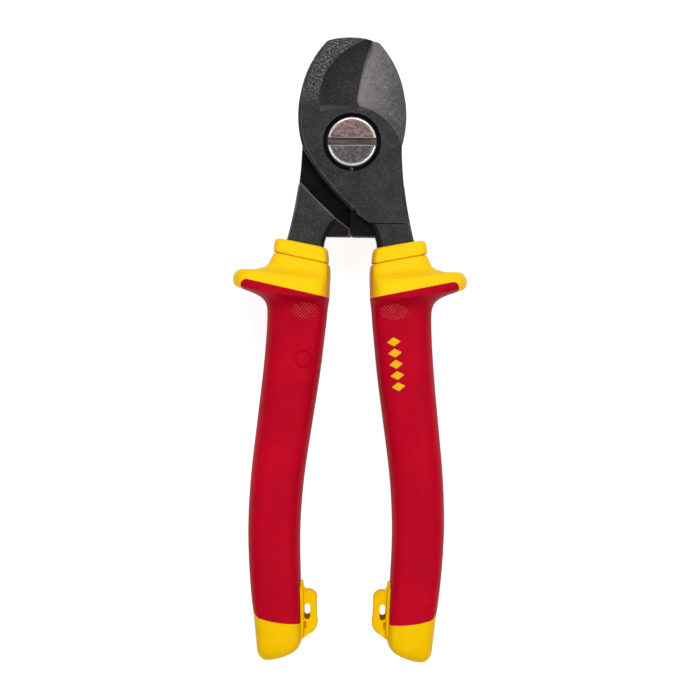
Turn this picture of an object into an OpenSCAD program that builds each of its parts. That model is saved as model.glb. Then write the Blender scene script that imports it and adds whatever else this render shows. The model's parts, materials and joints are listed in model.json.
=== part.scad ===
// Insulated cable cutter: two forged levers lapped on one pivot bolt, with two-layer insulated handles.
// It lies on its back, jaws closed. +Z is up through the pivot bolt, +Y points to the jaw tips and +X is
// the right-hand handle's side. The origin is under the middle of the tool, on the surface it lies on.

/* [Overall] */
// Length from the jaw tips to the handle ends
overall_length = 165; // [164.5:0.5:166]
// Reach of the jaw tips in front of the pivot
jaw_reach = 27.6; // [27.4:0.1:27.8]
// Half the thickness of the tool over the hand guards
guard_half = 11.8; // [11:0.1:12]

/* [Pivot] */
// Thickness of the two lapped levers together
joint_thickness = 9.8; // [9.4:0.1:10.4]
// Radius of the bolt's bearing shank
shank_r = 4.5; // [4.2:0.1:4.8]
// Running clearance between the shank and its bores
running_gap = 0.03; // [0.02:0.01:0.06]
// Radius of the bolt's slotted head
head_r = 6.45; // [6:0.05:6.45]
// How far the head stands proud of the front lever
head_proud = 1.4; // [1:0.1:1.8]
// Width of the screwdriver slot
slot_width = 2.0; // [1.6:0.1:2.2]
// Width across the flats of the nut
nut_flats = 13; // [12:0.5:13]

/* [Handles] */
// Half the thickness of the grip at its middle
grip_half = 8.1; // [7.8:0.1:8.5]
// Wall of the red cover over the inner sleeve
cover_wall = 1.7; // [1.5:0.1:1.9]
// Half the thickness of the steel tang inside the handle
tang_half = 2.6; // [2.2:0.1:3]
// Gap left between bonded layers
bond_gap = 0.05; // [0.04:0.01:0.08]

/* [Tether eyes] */
// Thickness of the lug
eye_thickness = 5.4; // [4.6:0.2:6]
// Width of the slot through the lug
eye_slot_width = 1.5; // [1.4:0.1:1.7]
// Length of the slot through the lug
eye_slot_length = 4.2; // [3.6:0.1:4.6]

/* [Smoothness] */
// Points around each section of a handle
ring_points = 28; // [20:4:32]

/* [Hidden] */

$fn = 64;
cut = 0.5;
steel = [0.17, 0.17, 0.17];
plated = [0.72, 0.70, 0.68];
yellow = [0.96, 0.78, 0.05];
red = [0.70, 0.02, 0.11];

// The pivot axis stands at [0, pivot_y] and the levers part at the height pivot_z.
pivot_y = overall_length / 2 - jaw_reach;
pivot_z = guard_half;
tail_y = jaw_reach - overall_length;

// Heights on the pivot, measured from the plane where the levers part.
plate_top = joint_thickness / 2;
lap_gap = 0.04;
seat_depth = 1.6;
seat_z = plate_top - seat_depth;
front_seat_r = 7.65;
rear_seat_r = 8.2;
thread_r = 4;
slot_depth = 1.2;
nut_height = 3;
nut_z = -(seat_z + 0.85);

// Lock pin, which stands in the ring of space beside the bolt head.
pin_r = 0.5;
pin_y = -7.08;
pin_bottom = 1.2;
pin_top = 4.1;

// The neck's front stands this far below the plate's.
face_step = 0.2;

// Stop lugs, which meet on the middle line when the jaws are shut. Each passes over the other's heel.
lug_half = 3.4;
lug_lap = 0.15;
lug_gap = 0.06;
lug_outline = [[-lug_lap, -17.2], [-lug_lap, -25], [7, -25], [7, -17.2]];
heel_outline = [
    [lug_lap + lug_gap, -23], [lug_lap + lug_gap, -25], [7, -25], [7, -19.6], [4.1, -19.9]
];

// Hollow grinding of a jaw: a wheel of this radius, run along the cutting edge.
wheel_r = 13;
edge_thickness = 0.9;
grind_start = [0.95, 8.7];
grind_angle = 75;

// ---- Outlines, with the pivot at [0, 0] ----

// Points along the circle through p, q and r, from p to r.
function arc3(p, q, r, n = 8) =
    let (
        d = 2 * (p.x * (q.y - r.y) + q.x * (r.y - p.y) + r.x * (p.y - q.y)),
        cx = ((p * p) * (q.y - r.y) + (q * q) * (r.y - p.y) + (r * r) * (p.y - q.y)) / d,
        cy = ((p * p) * (r.x - q.x) + (q * q) * (p.x - r.x) + (r * r) * (q.x - p.x)) / d,
        c = [cx, cy],
        radius = norm(p - c),
        start = atan2(p.y - cy, p.x - cx),
        span = atan2(r.y - cy, r.x - cx) - start,
        ccw = cross(q - p, r - q) > 0,
        sweep = ccw ? (span < 0 ? span + 360 : span) : (span > 0 ? span - 360 : span)
    )
    [for (k = [0 : n]) c + radius * [cos(start + sweep * k / n), sin(start + sweep * k / n)]];

// Front lever's half-thickness plate: left jaw, lap disc and the front of the right tang.
plate_outline = concat(
    arc3([5.05, 26.7], [3.65, 23.5], [2.65, 20], 5),
    arc3([2.6, 19.8], [1.85, 16], [1.2, 12], 6),
    arc3([1.2, 11.8], [1.35, 10.6], [2, 9.6], 4),
    arc3([2.4, 9.5], [8.1, 6.5], [12.45, 1], 8),
    arc3([12.6, 0.6], [13.05, -0.7], [13.2, -2], 3),
    arc3([13.2, -2.2], [13.95, -12], [15.6, -21.2], 8),
    [[4.75, -21.2], [4.4, -20.9]],
    arc3([1.5, -19], [-6.9, -10.6], [-12.8, -2], 9),
    arc3([-13.1, -1.2], [-14.3, 5.5], [-13.9, 12], 6),
    arc3([-13.8, 12.4], [-11.9, 19], [-7.2, 26.4], 9),
    arc3([-6.7, 26.75], [-0.5, jaw_reach], [4.7, 26.85], 8)
);

// Full-thickness neck of the right tang, below the shoulder that the other lever swings clear of.
neck_outline = concat(
    [[13.6, -10.7], [13.1, -11.1], [4.2, -19.9], [4.4, -21.2], [6.4, -24.6], [7.1, -28], [8.1, -31.5]],
    [[17.15, -31.5], [16.8, -26]],
    arc3([16.35, -24.2], [15.1, -18.5], [14.05, -12], 6)
);

// Steel tang inside the right handle.
tang_outline = [
    [17.15, -30.5], [17.4, -42], [17.9, -60], [20, -80], [21.4, -100], [20.9, -113],
    [16.5, -113], [16.4, -100], [14.4, -80], [11.7, -60], [10.3, -42], [8, -30.5]
];

// Tether eye of the right handle, from the top of its foot, around the lug and back up the grip.
eye_outline = concat(
    [[11.55, -116.3], [10.95, -116.5], [10.75, -118.1]],
    arc3([10.3, -118.4], [8.3, -118.75], [7.5, -121.4], 6),
    arc3([7.25, -126], [7.6, -128.6], [9.2, -130], 6),
    [[11.0, -131.4], [11.1, -128], [11.25, -124], [11.45, -119]]
);
eye_slot_centre = [9.95, -124.1];

// ---- Sections of the right handle ----
// A section is [outer x, outer y, inner x, inner y, half thickness, squareness]: a superellipse on the
// plane through its outer and inner points, square to the tool's face.

// Outside of the guard, cover and end cap, from the guard's top to the tail.
skin_sections = [
    [20.2, -29.5, 5.65, -32.4, 7.1, 2.6],
    [20.75, -30.3, 5.3, -33.1, 7.5, 2.6],
    [22.1, -32.8, 5.15, -34.9, 8.3, 2.5],
    [25.6, -33.9, 5.15, -36.3, 10.3, 2.4],
    [29.5, -33.95, 5.2, -37.5, 11.7, 2.3],
    [31.0, -35.8, 5.25, -39, 12.4, 2.3],
    [30.6, -38.2, 5.3, -40.8, 12.4, 2.3],
    [28.2, -39.2, 5.4, -42, 12.0, 2.3],
    [24.2, -40.8, 5.6, -43.1, 9.6, 2.4],
    [22.1, -43, 5.8, -44.8, 8.4, 2.5],
    [21.75, -47, 6.05, -47.8, 8, 2.5],
    [22.1, -54, 6.7, -54, 8.1, 2.5],
    [22.75, -62, 7.6, -62, 8.15, 2.5],
    [24.1, -75, 9.45, -75, 8.1, 2.5],
    [25.5, -89, 11.35, -89, 7.9, 2.5],
    [26, -103, 12.15, -103, 7.7, 2.5],
    [25.2, -117, 11.7, -117, 7.5, 2.5],
    [24.1, -126, 11.35, -127.5, 7.4, 2.5],
    [23.4, tail_y + 4.9, 11.3, tail_y + 5.6, 7.1, 2.4],
    [23.0, tail_y + 2, 12.6, tail_y + 2.9, 6.3, 2.3],
    [21.9, tail_y + 0.5, 15.4, tail_y + 1.2, 4.6, 2.2],
    [20.9, tail_y, 18.6, tail_y + 0.2, 2.2, 2]
];

// Collar of the inner sleeve, above the guard.
collar_sections = [
    [18.9, -25.5, 7, -27.75, 6.5, 2.8],
    [19.8, -25.8, 6.2, -28.2, 7.15, 2.7],
    [20.2, -26.6, 5.8, -29.2, 7.4, 2.7],
    [20.4, -28.7, 5.6, -31.6, 7.5, 2.7],
    [20.1, -29.1, 5.9, -32, 7.2, 2.7]
];

// Neck of the inner sleeve, where it passes through the guard.
sleeve_neck_sections = [
    [18.9, -28.9, 6.9, -31.4, 6.3, 2.7],
    [19.1, -34, 6.8, -36, 6.3, 2.7],
    [19.8, -42, 7.2, -43.6, 6.4, 2.6]
];
sleeve_end = -118.4;
core_end = -131;

// Catmull-Rom points between the sections, steps to each stretch.
function smooth(s, steps) =
    let (last = len(s) - 1)
    concat(
        [for (i = [0 : last - 1], k = [0 : steps - 1])
            let (
                t = k / steps,
                a = s[max(i - 1, 0)], b = s[i], c = s[i + 1], d = s[min(i + 2, last)]
            )
            0.5 * (2 * b + (c - a) * t + (2 * a - 5 * b + 4 * c - d) * t * t
                + (3 * b - a - 3 * c + d) * t * t * t)],
        [s[last]]
    );

function signed_power(v, e) = sign(v) * pow(abs(v), e);

// One section as points, grown on every side.
function ring(s, grow = 0) =
    let (
        outer = [s[0], s[1], 0], inner = [s[2], s[3], 0],
        middle = (outer + inner) / 2,
        half = (outer - inner) / 2,
        reach = half * (norm(half) + grow) / norm(half),
        e = 2 / s[5]
    )
    [for (k = [0 : ring_points - 1])
        let (t = 360 * (k + 0.5) / ring_points)
        middle + reach * signed_power(cos(t), e)
            + [0, 0, (s[4] + grow) * signed_power(sin(t), e)]];

// A solid skinned over sections that run down the handle.
module loft(sections, grow = 0) {
    n = ring_points;
    rings = len(sections);
    sides = [for (i = [0 : rings - 2], k = [0 : n - 1])
        each [
            [i * n + k, (i + 1) * n + k, i * n + (k + 1) % n],
            [(i + 1) * n + k, (i + 1) * n + (k + 1) % n, i * n + (k + 1) % n]
        ]];
    top = [[for (k = [0 : n - 1]) k]];
    bottom = [[for (k = [n - 1 : -1 : 0]) (rings - 1) * n + k]];
    polyhedron([for (s = sections) each ring(s, grow)], concat(sides, top, bottom), convexity = 6);
}

// Sections of the core that the guard and cover enclose: the sleeve, then the end cap's spigot.
function inset(s) =
    [s[0] - cover_wall, s[1], s[2] + cover_wall, s[3], s[4] - cover_wall, s[5]];
core_sections = concat(
    sleeve_neck_sections,
    [for (s = skin_sections) if (s[1] < -46 && s[1] > core_end) inset(s)]
);

module skin() loft(smooth(skin_sections, 3));
module core(grow = 0) loft(smooth(core_sections, 2), grow);

// Part of the handle's face that the red cover holds, between the guard and the end cap.
wing_r = 1.5;
wing_centre = [27.15, -38.2];
wing_slope = 11.9;
tail_line = concat(
    [[25.4, -121.2]],
    arc3([24.3, -123.6], [23.4, -125.3], [21.6, -126.15], 6),
    arc3([20.9, -126.35], [15.7, -127.15], [10.5, -127.2], 6)
);
function wing_end() =
    [for (a = [90 + wing_slope : -20 : -70]) wing_centre + wing_r * [cos(a), sin(a)]];
cover_outline = concat(
    [wing_end()[0] - 27 * [cos(wing_slope), sin(wing_slope)]],
    wing_end(),
    [[28.4, -40.6], [36, -46], [36, -121.2]],
    tail_line,
    [[1.5, -127.2]]
);
layer_gap = 0.08;

module cover_face(grow = 0) offset(delta = grow) polygon(cover_outline);
module above_cover() difference() {
    translate([0, -60]) square([40, 40]);
    cover_face(layer_gap);
}
module below_cover() difference() {
    translate([0, -145]) square([40, 30]);
    cover_face(layer_gap);
}
module through_tool(half = guard_half) linear_extrude(2 * half, center = true) children();

// ---- Placing ----

module at_pivot() translate([0, pivot_y, pivot_z]) children();
// The left handle and the rear lever are the right handle and the front lever, turned over.
module turned_over() rotate([0, 180, 0]) children();

// ---- Levers ----

module jaw_grinding() {
    translate([grind_start.x, grind_start.y, edge_thickness + wheel_r])
        rotate([0, 0, grind_angle])
            rotate([0, 90, 0]) cylinder(r = wheel_r, h = 30);
}

module neck(grow = 0) {
    translate([0, 0, -plate_top - grow])
        linear_extrude(2 * plate_top - face_step + 2 * grow) offset(delta = grow) polygon(neck_outline);
}

module lever(seat_r) {
    difference() {
        union() {
            translate([0, 0, lap_gap])
                linear_extrude(plate_top - lap_gap) polygon(plate_outline);
            neck();
            through_tool(tang_half) polygon(tang_outline);
            translate([0, 0, lap_gap]) linear_extrude(lug_half - lap_gap) polygon(lug_outline);
            translate([0, 0, -lug_half])
                linear_extrude(lug_half + 2 * lap_gap) polygon(heel_outline);
        }
        translate([0, 0, -plate_top]) cylinder(r = shank_r + running_gap, h = 2 * plate_top);
        translate([0, 0, seat_z]) cylinder(r = seat_r, h = seat_depth + cut);
        jaw_grinding();
    }
}

module front_lever() {
    color(steel) at_pivot() difference() {
        lever(front_seat_r);
        translate([0, pin_y, pin_bottom - bond_gap])
            cylinder(r = pin_r + running_gap, h = plate_top, $fn = 24);
    }
}

module rear_lever() {
    color(steel) at_pivot() turned_over() lever(rear_seat_r);
}

// ---- Pivot ----

module pivot_bolt() {
    head_top = plate_top + head_proud;
    bevel = 0.7;
    color(plated) at_pivot() difference() {
        union() {
            translate([0, 0, seat_z + lap_gap])
                cylinder(r = head_r, h = head_top - bevel - seat_z - lap_gap);
            translate([0, 0, head_top - bevel]) cylinder(r1 = head_r, r2 = head_r - bevel, h = bevel);
            translate([0, 0, -seat_z]) cylinder(r = shank_r, h = 2 * seat_z + cut);
            translate([0, 0, nut_z - nut_height - 0.3])
                cylinder(r = thread_r, h = seat_z + nut_height);
        }
        translate([-head_r - cut, -slot_width / 2, head_top - slot_depth])
            cube([2 * head_r + 2 * cut, slot_width, slot_depth + cut]);
    }
}

module lock_pin() {
    color(plated) at_pivot() translate([0, pin_y, pin_bottom])
        cylinder(r = pin_r, h = pin_top - pin_bottom, $fn = 24);
}

module pivot_nut() {
    color(plated) at_pivot() translate([0, 0, nut_z - nut_height]) difference() {
        cylinder(r = nut_flats / 2 / cos(30), h = nut_height, $fn = 6);
        translate([0, 0, -cut]) cylinder(r = thread_r + bond_gap, h = nut_height + 2 * cut);
    }
}

module spring_washer() {
    outer_r = 7.2;
    inner_r = shank_r + 0.15;
    thickness = 0.5;
    dish = 0.25;
    top = -(seat_z + bond_gap);
    color(plated) at_pivot() rotate_extrude() polygon([
        [outer_r, top], [outer_r, top - thickness],
        [inner_r, top - thickness - dish], [inner_r, top - dish]
    ]);
}

// ---- Right handle, drawn from the pivot ----

module inner_sleeve() {
    color(yellow) difference() {
        union() {
            loft(collar_sections);
            intersection() {
                core();
                through_tool(grip_half) translate([0, sleeve_end]) square([40, 100]);
            }
        }
        neck(bond_gap);
        through_tool(tang_half + bond_gap) offset(delta = bond_gap) polygon(tang_outline);
    }
}

module hand_guard() {
    color(yellow) difference() {
        intersection() {
            skin();
            through_tool() above_cover();
        }
        core(bond_gap);
    }
}

module grip_cover() {
    color(red) difference() {
        intersection() {
            skin();
            through_tool() cover_face();
        }
        core(bond_gap);
    }
}

module end_cap() {
    spigot_top = sleeve_end - 0.3;
    color(yellow) union() {
        intersection() {
            skin();
            through_tool() below_cover();
        }
        intersection() {
            core();
            through_tool(grip_half) translate([0, -140]) square([40, 140 + spigot_top]);
        }
    }
}

module tether_eye() {
    run = (eye_slot_length - eye_slot_width) / 2;
    color(yellow) through_tool(eye_thickness / 2) difference() {
        polygon(eye_outline);
        translate(eye_slot_centre) union() {
            for (side = [-1, 1]) translate([0, side * run]) circle(d = eye_slot_width);
            square([eye_slot_width, 2 * run], center = true);
        }
    }
}

// Five raised lozenges along the front of the grip.
mark_count = 5;
mark_pitch = 2.96;
mark_start = [11.75, -52.6];
mark_lean = 7;
mark_size = [3.7, 2.4];
mark_height = 0.2;

module grip_marks() {
    face = [for (s = smooth(skin_sections, 3)) if (s[1] < -48 && s[1] > -74) s];
    color(yellow) difference() {
        intersection() {
            loft(face, mark_height);
            translate(concat(mark_start, [0])) rotate([0, 0, mark_lean])
                for (i = [0 : mark_count - 1]) translate([0, -i * mark_pitch, 3])
                    linear_extrude(10) polygon([
                        [mark_size.x / 2, 0], [0, mark_size.y / 2],
                        [-mark_size.x / 2, 0], [0, -mark_size.y / 2]
                    ]);
        }
        loft(face, lap_gap);
    }
}

module right_inner_sleeve() at_pivot() inner_sleeve();
module right_hand_guard() at_pivot() hand_guard();
module right_grip_cover() at_pivot() grip_cover();
module right_end_cap() at_pivot() end_cap();
module right_tether_eye() at_pivot() tether_eye();
module right_grip_marks() at_pivot() grip_marks();

module left_inner_sleeve() at_pivot() turned_over() inner_sleeve();
module left_hand_guard() at_pivot() turned_over() hand_guard();
module left_grip_cover() at_pivot() turned_over() grip_cover();
module left_end_cap() at_pivot() turned_over() end_cap();
module left_tether_eye() at_pivot() turned_over() tether_eye();

front_lever();
rear_lever();
pivot_bolt();
lock_pin();
pivot_nut();
spring_washer();
right_inner_sleeve();
right_hand_guard();
right_grip_cover();
right_end_cap();
right_tether_eye();
right_grip_marks();
left_inner_sleeve();
left_hand_guard();
left_grip_cover();
left_end_cap();
left_tether_eye();
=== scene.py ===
"""Looks of an insulated cable cutter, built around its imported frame.

Every shape is modelled in millimetres from the pivot, with +Y to the jaw tips and +Z out of the front of the
tool, and is then brought to metres in the row frame.
"""

from __future__ import annotations

import json
import logging
import math
from collections.abc import Callable, Iterator, Sequence
from contextlib import contextmanager
from dataclasses import dataclass
from enum import Enum
from typing import NamedTuple

import bmesh
import bpy
from mathutils import Matrix, Vector

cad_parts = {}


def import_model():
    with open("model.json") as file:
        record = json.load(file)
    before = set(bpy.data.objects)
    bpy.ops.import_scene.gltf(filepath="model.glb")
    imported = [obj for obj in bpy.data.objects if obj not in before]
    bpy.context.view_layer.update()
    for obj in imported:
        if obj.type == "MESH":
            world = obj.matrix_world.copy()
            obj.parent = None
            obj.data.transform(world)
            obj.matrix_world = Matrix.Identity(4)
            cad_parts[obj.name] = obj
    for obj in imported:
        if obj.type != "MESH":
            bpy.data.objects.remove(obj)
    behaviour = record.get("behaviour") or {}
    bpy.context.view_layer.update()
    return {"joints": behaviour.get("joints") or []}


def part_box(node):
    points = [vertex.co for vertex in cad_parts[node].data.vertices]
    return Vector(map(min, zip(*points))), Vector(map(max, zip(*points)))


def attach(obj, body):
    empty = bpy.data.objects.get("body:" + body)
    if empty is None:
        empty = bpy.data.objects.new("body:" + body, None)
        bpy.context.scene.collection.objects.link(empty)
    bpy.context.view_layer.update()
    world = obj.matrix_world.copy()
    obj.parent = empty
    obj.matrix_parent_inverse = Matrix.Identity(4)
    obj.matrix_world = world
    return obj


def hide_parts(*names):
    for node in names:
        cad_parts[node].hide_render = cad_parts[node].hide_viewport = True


LOG = logging.getLogger("cable_cutter")
MILLIMETRE = 0.001
FAR = 1000.0
CLEAR = 30.0
SAME_POINT = 0.02
SEAT_DEPTH = 1.6
FRONT_SEAT_R = 7.65
REAR_SEAT_R = 8.2
FRONT_BODY = "right_handle_half"
REAR_BODY = "left_handle_half"
HALF_TURN = Matrix.Rotation(math.pi, 4, "Y")

Point = tuple[float, float]
Colour = tuple[float, float, float]
PairTest = Callable[[Vector, Vector], bool]


class Side(Enum):
    """The two handles. The left one is the right one turned over about the tool's length."""

    RIGHT = "right"
    LEFT = "left"


class Cut(Enum):
    """What a boolean does with its tool."""

    REMOVE = "DIFFERENCE"
    KEEP = "INTERSECT"
    JOIN = "UNION"


# ---------------------------------------------------------------- geometry helpers


def arc3(p: Point, q: Point, r: Point, steps: int) -> list[Point]:
    """Draws the circle through three points.

    Args:
        p: Where the arc starts.
        q: A point on the way.
        r: Where the arc ends.
        steps: Number of straight steps.

    Returns:
        The points from p to r, both included.
    """
    det = 2 * (p[0] * (q[1] - r[1]) + q[0] * (r[1] - p[1]) + r[0] * (p[1] - q[1]))
    pp, qq, rr = (a * a + b * b for a, b in (p, q, r))
    cx = (pp * (q[1] - r[1]) + qq * (r[1] - p[1]) + rr * (p[1] - q[1])) / det
    cy = (pp * (r[0] - q[0]) + qq * (p[0] - r[0]) + rr * (q[0] - p[0])) / det
    radius = math.hypot(p[0] - cx, p[1] - cy)
    start = math.atan2(p[1] - cy, p[0] - cx)
    sweep = math.atan2(r[1] - cy, r[0] - cx) - start
    turn = (q[0] - p[0]) * (r[1] - q[1]) - (q[1] - p[1]) * (r[0] - q[0])
    if turn * sweep < 0:
        sweep += math.copysign(2 * math.pi, turn)
    angles = (start + sweep * k / steps for k in range(steps + 1))
    return [(cx + radius * math.cos(a), cy + radius * math.sin(a)) for a in angles]


def chain(*stretches: Sequence[Point]) -> list[Point]:
    """Joins stretches of an outline, without the points that two of them share."""
    joined: list[Point] = []
    for point in (point for stretch in stretches for point in stretch):
        if not joined or math.dist(point, joined[-1]) > SAME_POINT:
            joined.append(point)
    return joined


def between(x: Point = (-FAR, FAR), y: Point = (-FAR, FAR), z: Point = (-FAR, FAR)) -> PairTest:
    """A test of an edge, that both of its ends lie inside a box."""
    spans = (x, y, z)
    return lambda *ends: all(low < end[i] < high for end in ends for i, (low, high) in enumerate(spans))


class Section(NamedTuple):
    """A slice through a handle, on the plane through its outer and inner points, square to the face."""

    outer_x: float
    outer_y: float
    inner_x: float
    inner_y: float
    half: float
    box: float = 0.0

    @property
    def middle(self) -> Vector:
        """The slice's centre."""
        return Vector(((self.outer_x + self.inner_x) / 2, (self.outer_y + self.inner_y) / 2, 0))

    @property
    def reach(self) -> float:
        """Half the distance from the inner to the outer point."""
        return math.hypot(self.outer_x - self.inner_x, self.outer_y - self.inner_y) / 2

    @property
    def lean(self) -> float:
        """Angle of the slice from the X axis, in radians."""
        return math.atan2(self.outer_y - self.inner_y, self.outer_x - self.inner_x)

    def inset(self, wall: float) -> Section:
        """The slice with its sides moved in by a wall's thickness."""
        return self._replace(outer_x=self.outer_x - wall, inner_x=self.inner_x + wall, half=self.half - wall)


def smooth(sections: Sequence[Section], steps: int) -> list[Section]:
    """Fills a run of sections with Catmull-Rom steps, that many to each stretch."""

    def part_way(p: float, q: float, r: float, s: float, t: float) -> float:
        """One value at a share t of the way from q to r."""
        return 0.5 * (
            2 * q + (r - p) * t + (2 * p - 5 * q + 4 * r - s) * t**2 + (3 * q - p - 3 * r + s) * t**3
        )

    last = len(sections) - 1
    fine: list[Section] = []
    for i in range(last):
        four = [sections[j] for j in (max(i - 1, 0), i, i + 1, min(i + 2, last))]
        for k in range(steps):
            fine.append(Section(*(part_way(*values, k / steps) for values in zip(*four, strict=True))))
    return [*fine, sections[last]]


# ---------------------------------------------------------------- hand tools


def deselect_all() -> None:
    """Leaves nothing selected, so that an operator acts only on what is chosen next."""
    for chosen in list(bpy.context.selected_objects):
        chosen.select_set(False)


def extrude_up(height: float) -> None:
    """Extrudes the selected faces along Z, in edit mode."""
    bpy.ops.mesh.extrude_region_move(TRANSFORM_OT_translate={"value": (0, 0, height)})


def face_outward() -> None:
    """Points every face outward, in edit mode."""
    bpy.ops.mesh.select_all(action="SELECT")
    bpy.ops.mesh.normals_make_consistent(inside=False)


class Workpiece:
    """One mesh on the bench, shaped with edit-mode operators, in millimetres from the pivot."""

    def __init__(self, name: str, made: bpy.types.Object) -> None:
        """Takes an object and names it."""
        deselect_all()
        self.obj = made
        self.obj.name = name

    @classmethod
    def basic(cls, name: str, shape: str, **settings: object) -> Workpiece:
        """Puts one of the basic shapes on the bench."""
        deselect_all()
        getattr(bpy.ops.mesh, f"primitive_{shape}_add")(**settings)
        bpy.ops.object.transform_apply(location=True, rotation=False, scale=False)
        return cls(name, bpy.context.active_object)

    @classmethod
    def slab(cls, name: str, outline: Sequence[Point], low: float, high: float) -> Workpiece:
        """Draws an outline by extruding one vertex from point to point, fills it and gives it a thickness.

        Args:
            name: Name of the piece.
            outline: The corners, in order.
            low: Height of the underside.
            high: Height of the top.
        """
        piece = cls.basic(name, "plane", size=2)
        with piece.editing("VERT"):
            bpy.ops.mesh.merge(type="CENTER")
            bpy.ops.transform.translate(value=(*outline[0], 0))
            for here, there in zip(outline, outline[1:], strict=False):
                step = (there[0] - here[0], there[1] - here[1], 0)
                bpy.ops.mesh.extrude_vertices_move(TRANSFORM_OT_translate={"value": step})
            bpy.ops.mesh.select_all(action="SELECT")
            bpy.ops.mesh.edge_face_add()
        with piece.editing("FACE"):
            bpy.ops.transform.translate(value=(0, 0, low))
            extrude_up(high - low)
            face_outward()
        return piece

    @classmethod
    def loft(cls, name: str, sections: Sequence[Section], corner: float) -> Workpiece:
        """Skins a run of sections, by extruding a round-cornered ring from one to the next.

        Args:
            name: Name of the piece.
            sections: The slices to pass through.
            corner: Corner radius of the ring, as a share of its half width. 1 is an ellipse.
        """
        piece = cls.basic(name, "plane", size=2)
        with piece.editing("VERT"):
            bpy.ops.transform.rotate(value=math.pi / 2, orient_axis="X", center_override=(0, 0, 0))
            bpy.ops.mesh.bevel(offset=corner, segments=6, profile=0.5, affect="VERTICES")
            bpy.ops.mesh.select_mode(type="FACE")
            bpy.ops.mesh.select_all(action="SELECT")
            piece._shape_ring(Section(1, 0, -1, 0, 1), sections[0])
            for here, there in zip(sections, sections[1:], strict=False):
                extrude_up(0)
                piece._shape_ring(here, there)
            face_outward()
        return piece

    def _shape_ring(self, here: Section, there: Section) -> None:
        """Turns, sizes and moves the selected ring from one section's place to another's."""
        middle = here.middle
        size = (there.reach / here.reach, 1, there.half / here.half)
        bpy.ops.transform.rotate(value=here.lean, orient_axis="Z", center_override=middle)
        self._square_up(here, there.box)
        bpy.ops.transform.resize(value=size, center_override=middle)
        bpy.ops.transform.rotate(value=-there.lean, orient_axis="Z", center_override=middle)
        bpy.ops.transform.translate(value=there.middle - middle)

    def _square_up(self, here: Section, box: float) -> None:
        """Draws the selected ring's corners out towards a square, by another share than before."""
        shape = bmesh.from_edit_mesh(self.obj.data)
        for vert in (vert for vert in shape.verts if vert.select):
            offset = vert.co - here.middle
            share = max(abs(offset.x) / here.reach, abs(offset.z) / here.half)
            plain = (share - here.box) / (1 - here.box)
            vert.co = here.middle + offset * (((1 - box) * plain + box) / share)
        bmesh.update_edit_mesh(self.obj.data)

    def take_up(self) -> None:
        """Makes this the only selected object, and the active one."""
        deselect_all()
        self.obj.select_set(True)
        bpy.context.view_layer.objects.active = self.obj

    @contextmanager
    def editing(self, mode: str, everything: bool = True) -> Iterator[None]:
        """Opens edit mode for the length of a with block.

        Args:
            mode: What is selected in it: VERT, EDGE or FACE.
            everything: Selects the whole mesh first.
        """
        self.take_up()
        bpy.ops.object.mode_set(mode="EDIT")
        bpy.ops.mesh.select_mode(type=mode)
        if everything:
            bpy.ops.mesh.select_all(action="SELECT")
        yield
        bpy.ops.object.mode_set(mode="OBJECT")

    def choose_edges(self, wanted: PairTest) -> bool:
        """Selects the edges whose two ends pass a test, in edit mode, and tells if there are any."""
        shape = bmesh.from_edit_mesh(self.obj.data)
        for edge in shape.edges:
            edge.select_set(wanted(edge.verts[0].co, edge.verts[1].co))
        bmesh.update_edit_mesh(self.obj.data)
        return any(edge.select for edge in shape.edges)

    def round_edges(self, wanted: PairTest, width: float, segments: int) -> Workpiece:
        """Bevels the edges whose two ends pass a test."""
        with self.editing("EDGE", everything=False):
            if self.choose_edges(wanted):
                bpy.ops.mesh.bevel(offset=width, segments=segments, profile=0.5, affect="EDGES")
        return self

    def crease(self, wanted: PairTest) -> Workpiece:
        """Keeps the chosen edges sharp when the mesh is subdivided."""
        with self.editing("EDGE", everything=False):
            self.choose_edges(wanted)
            bpy.ops.transform.edge_crease(value=1)
        return self

    def modify(self, kind: str, **settings: object) -> Workpiece:
        """Applies a modifier with those settings."""
        self.take_up()
        modifier = self.obj.modifiers.new("modifier", kind)
        for name, value in settings.items():
            setattr(modifier, name, value)
        bpy.ops.object.modifier_apply(modifier=modifier.name)
        return self

    def subdivide(self) -> Workpiece:
        """Smooths the piece with two levels of subdivision surface."""
        return self.modify("SUBSURF", levels=2, render_levels=2)

    def combine(self, tool: Workpiece, cut: Cut, keep_tool: bool = False) -> Workpiece:
        """Cuts, keeps or joins with another workpiece, which is used up unless it is kept."""
        self.modify("BOOLEAN", operation=cut.value, solver="EXACT", object=tool.obj)
        if not keep_tool:
            tool.discard()
        return self

    def bisect(self, point: Sequence[float], normal: Sequence[float], remove: bool = True) -> Workpiece:
        """Adds edges along a plane, and may remove what its normal points to and close the cut."""
        with self.editing("VERT"):
            bpy.ops.mesh.bisect(plane_co=point, plane_no=normal, use_fill=remove, clear_outer=remove)
        return self

    def drape(self, cloth: Workpiece, side: int) -> Workpiece:
        """Lets the piece down onto the front of another, or its back if side is -1, to follow its surface."""
        for vert in self.obj.data.vertices:
            start = Vector((vert.co.x, vert.co.y, side * CLEAR))
            hit, place, _, _ = cloth.obj.ray_cast(start, Vector((0, 0, -side)))
            if hit:
                vert.co.z = place.z + side * vert.co.z
        return self

    def absorb(self, others: Sequence[Workpiece]) -> Workpiece:
        """Joins other workpieces into this one as loose pieces."""
        self.take_up()
        for other in others:
            other.obj.select_set(True)
        bpy.ops.object.join()
        return self

    def moved(self, matrix: Matrix) -> Workpiece:
        """Moves or turns the mesh."""
        self.obj.data.transform(matrix)
        return self

    def copy(self, name: str) -> Workpiece:
        """A second workpiece with its own mesh."""
        twin = self.obj.copy()
        twin.data = self.obj.data.copy()
        bpy.context.scene.collection.objects.link(twin)
        return Workpiece(name, twin)

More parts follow.
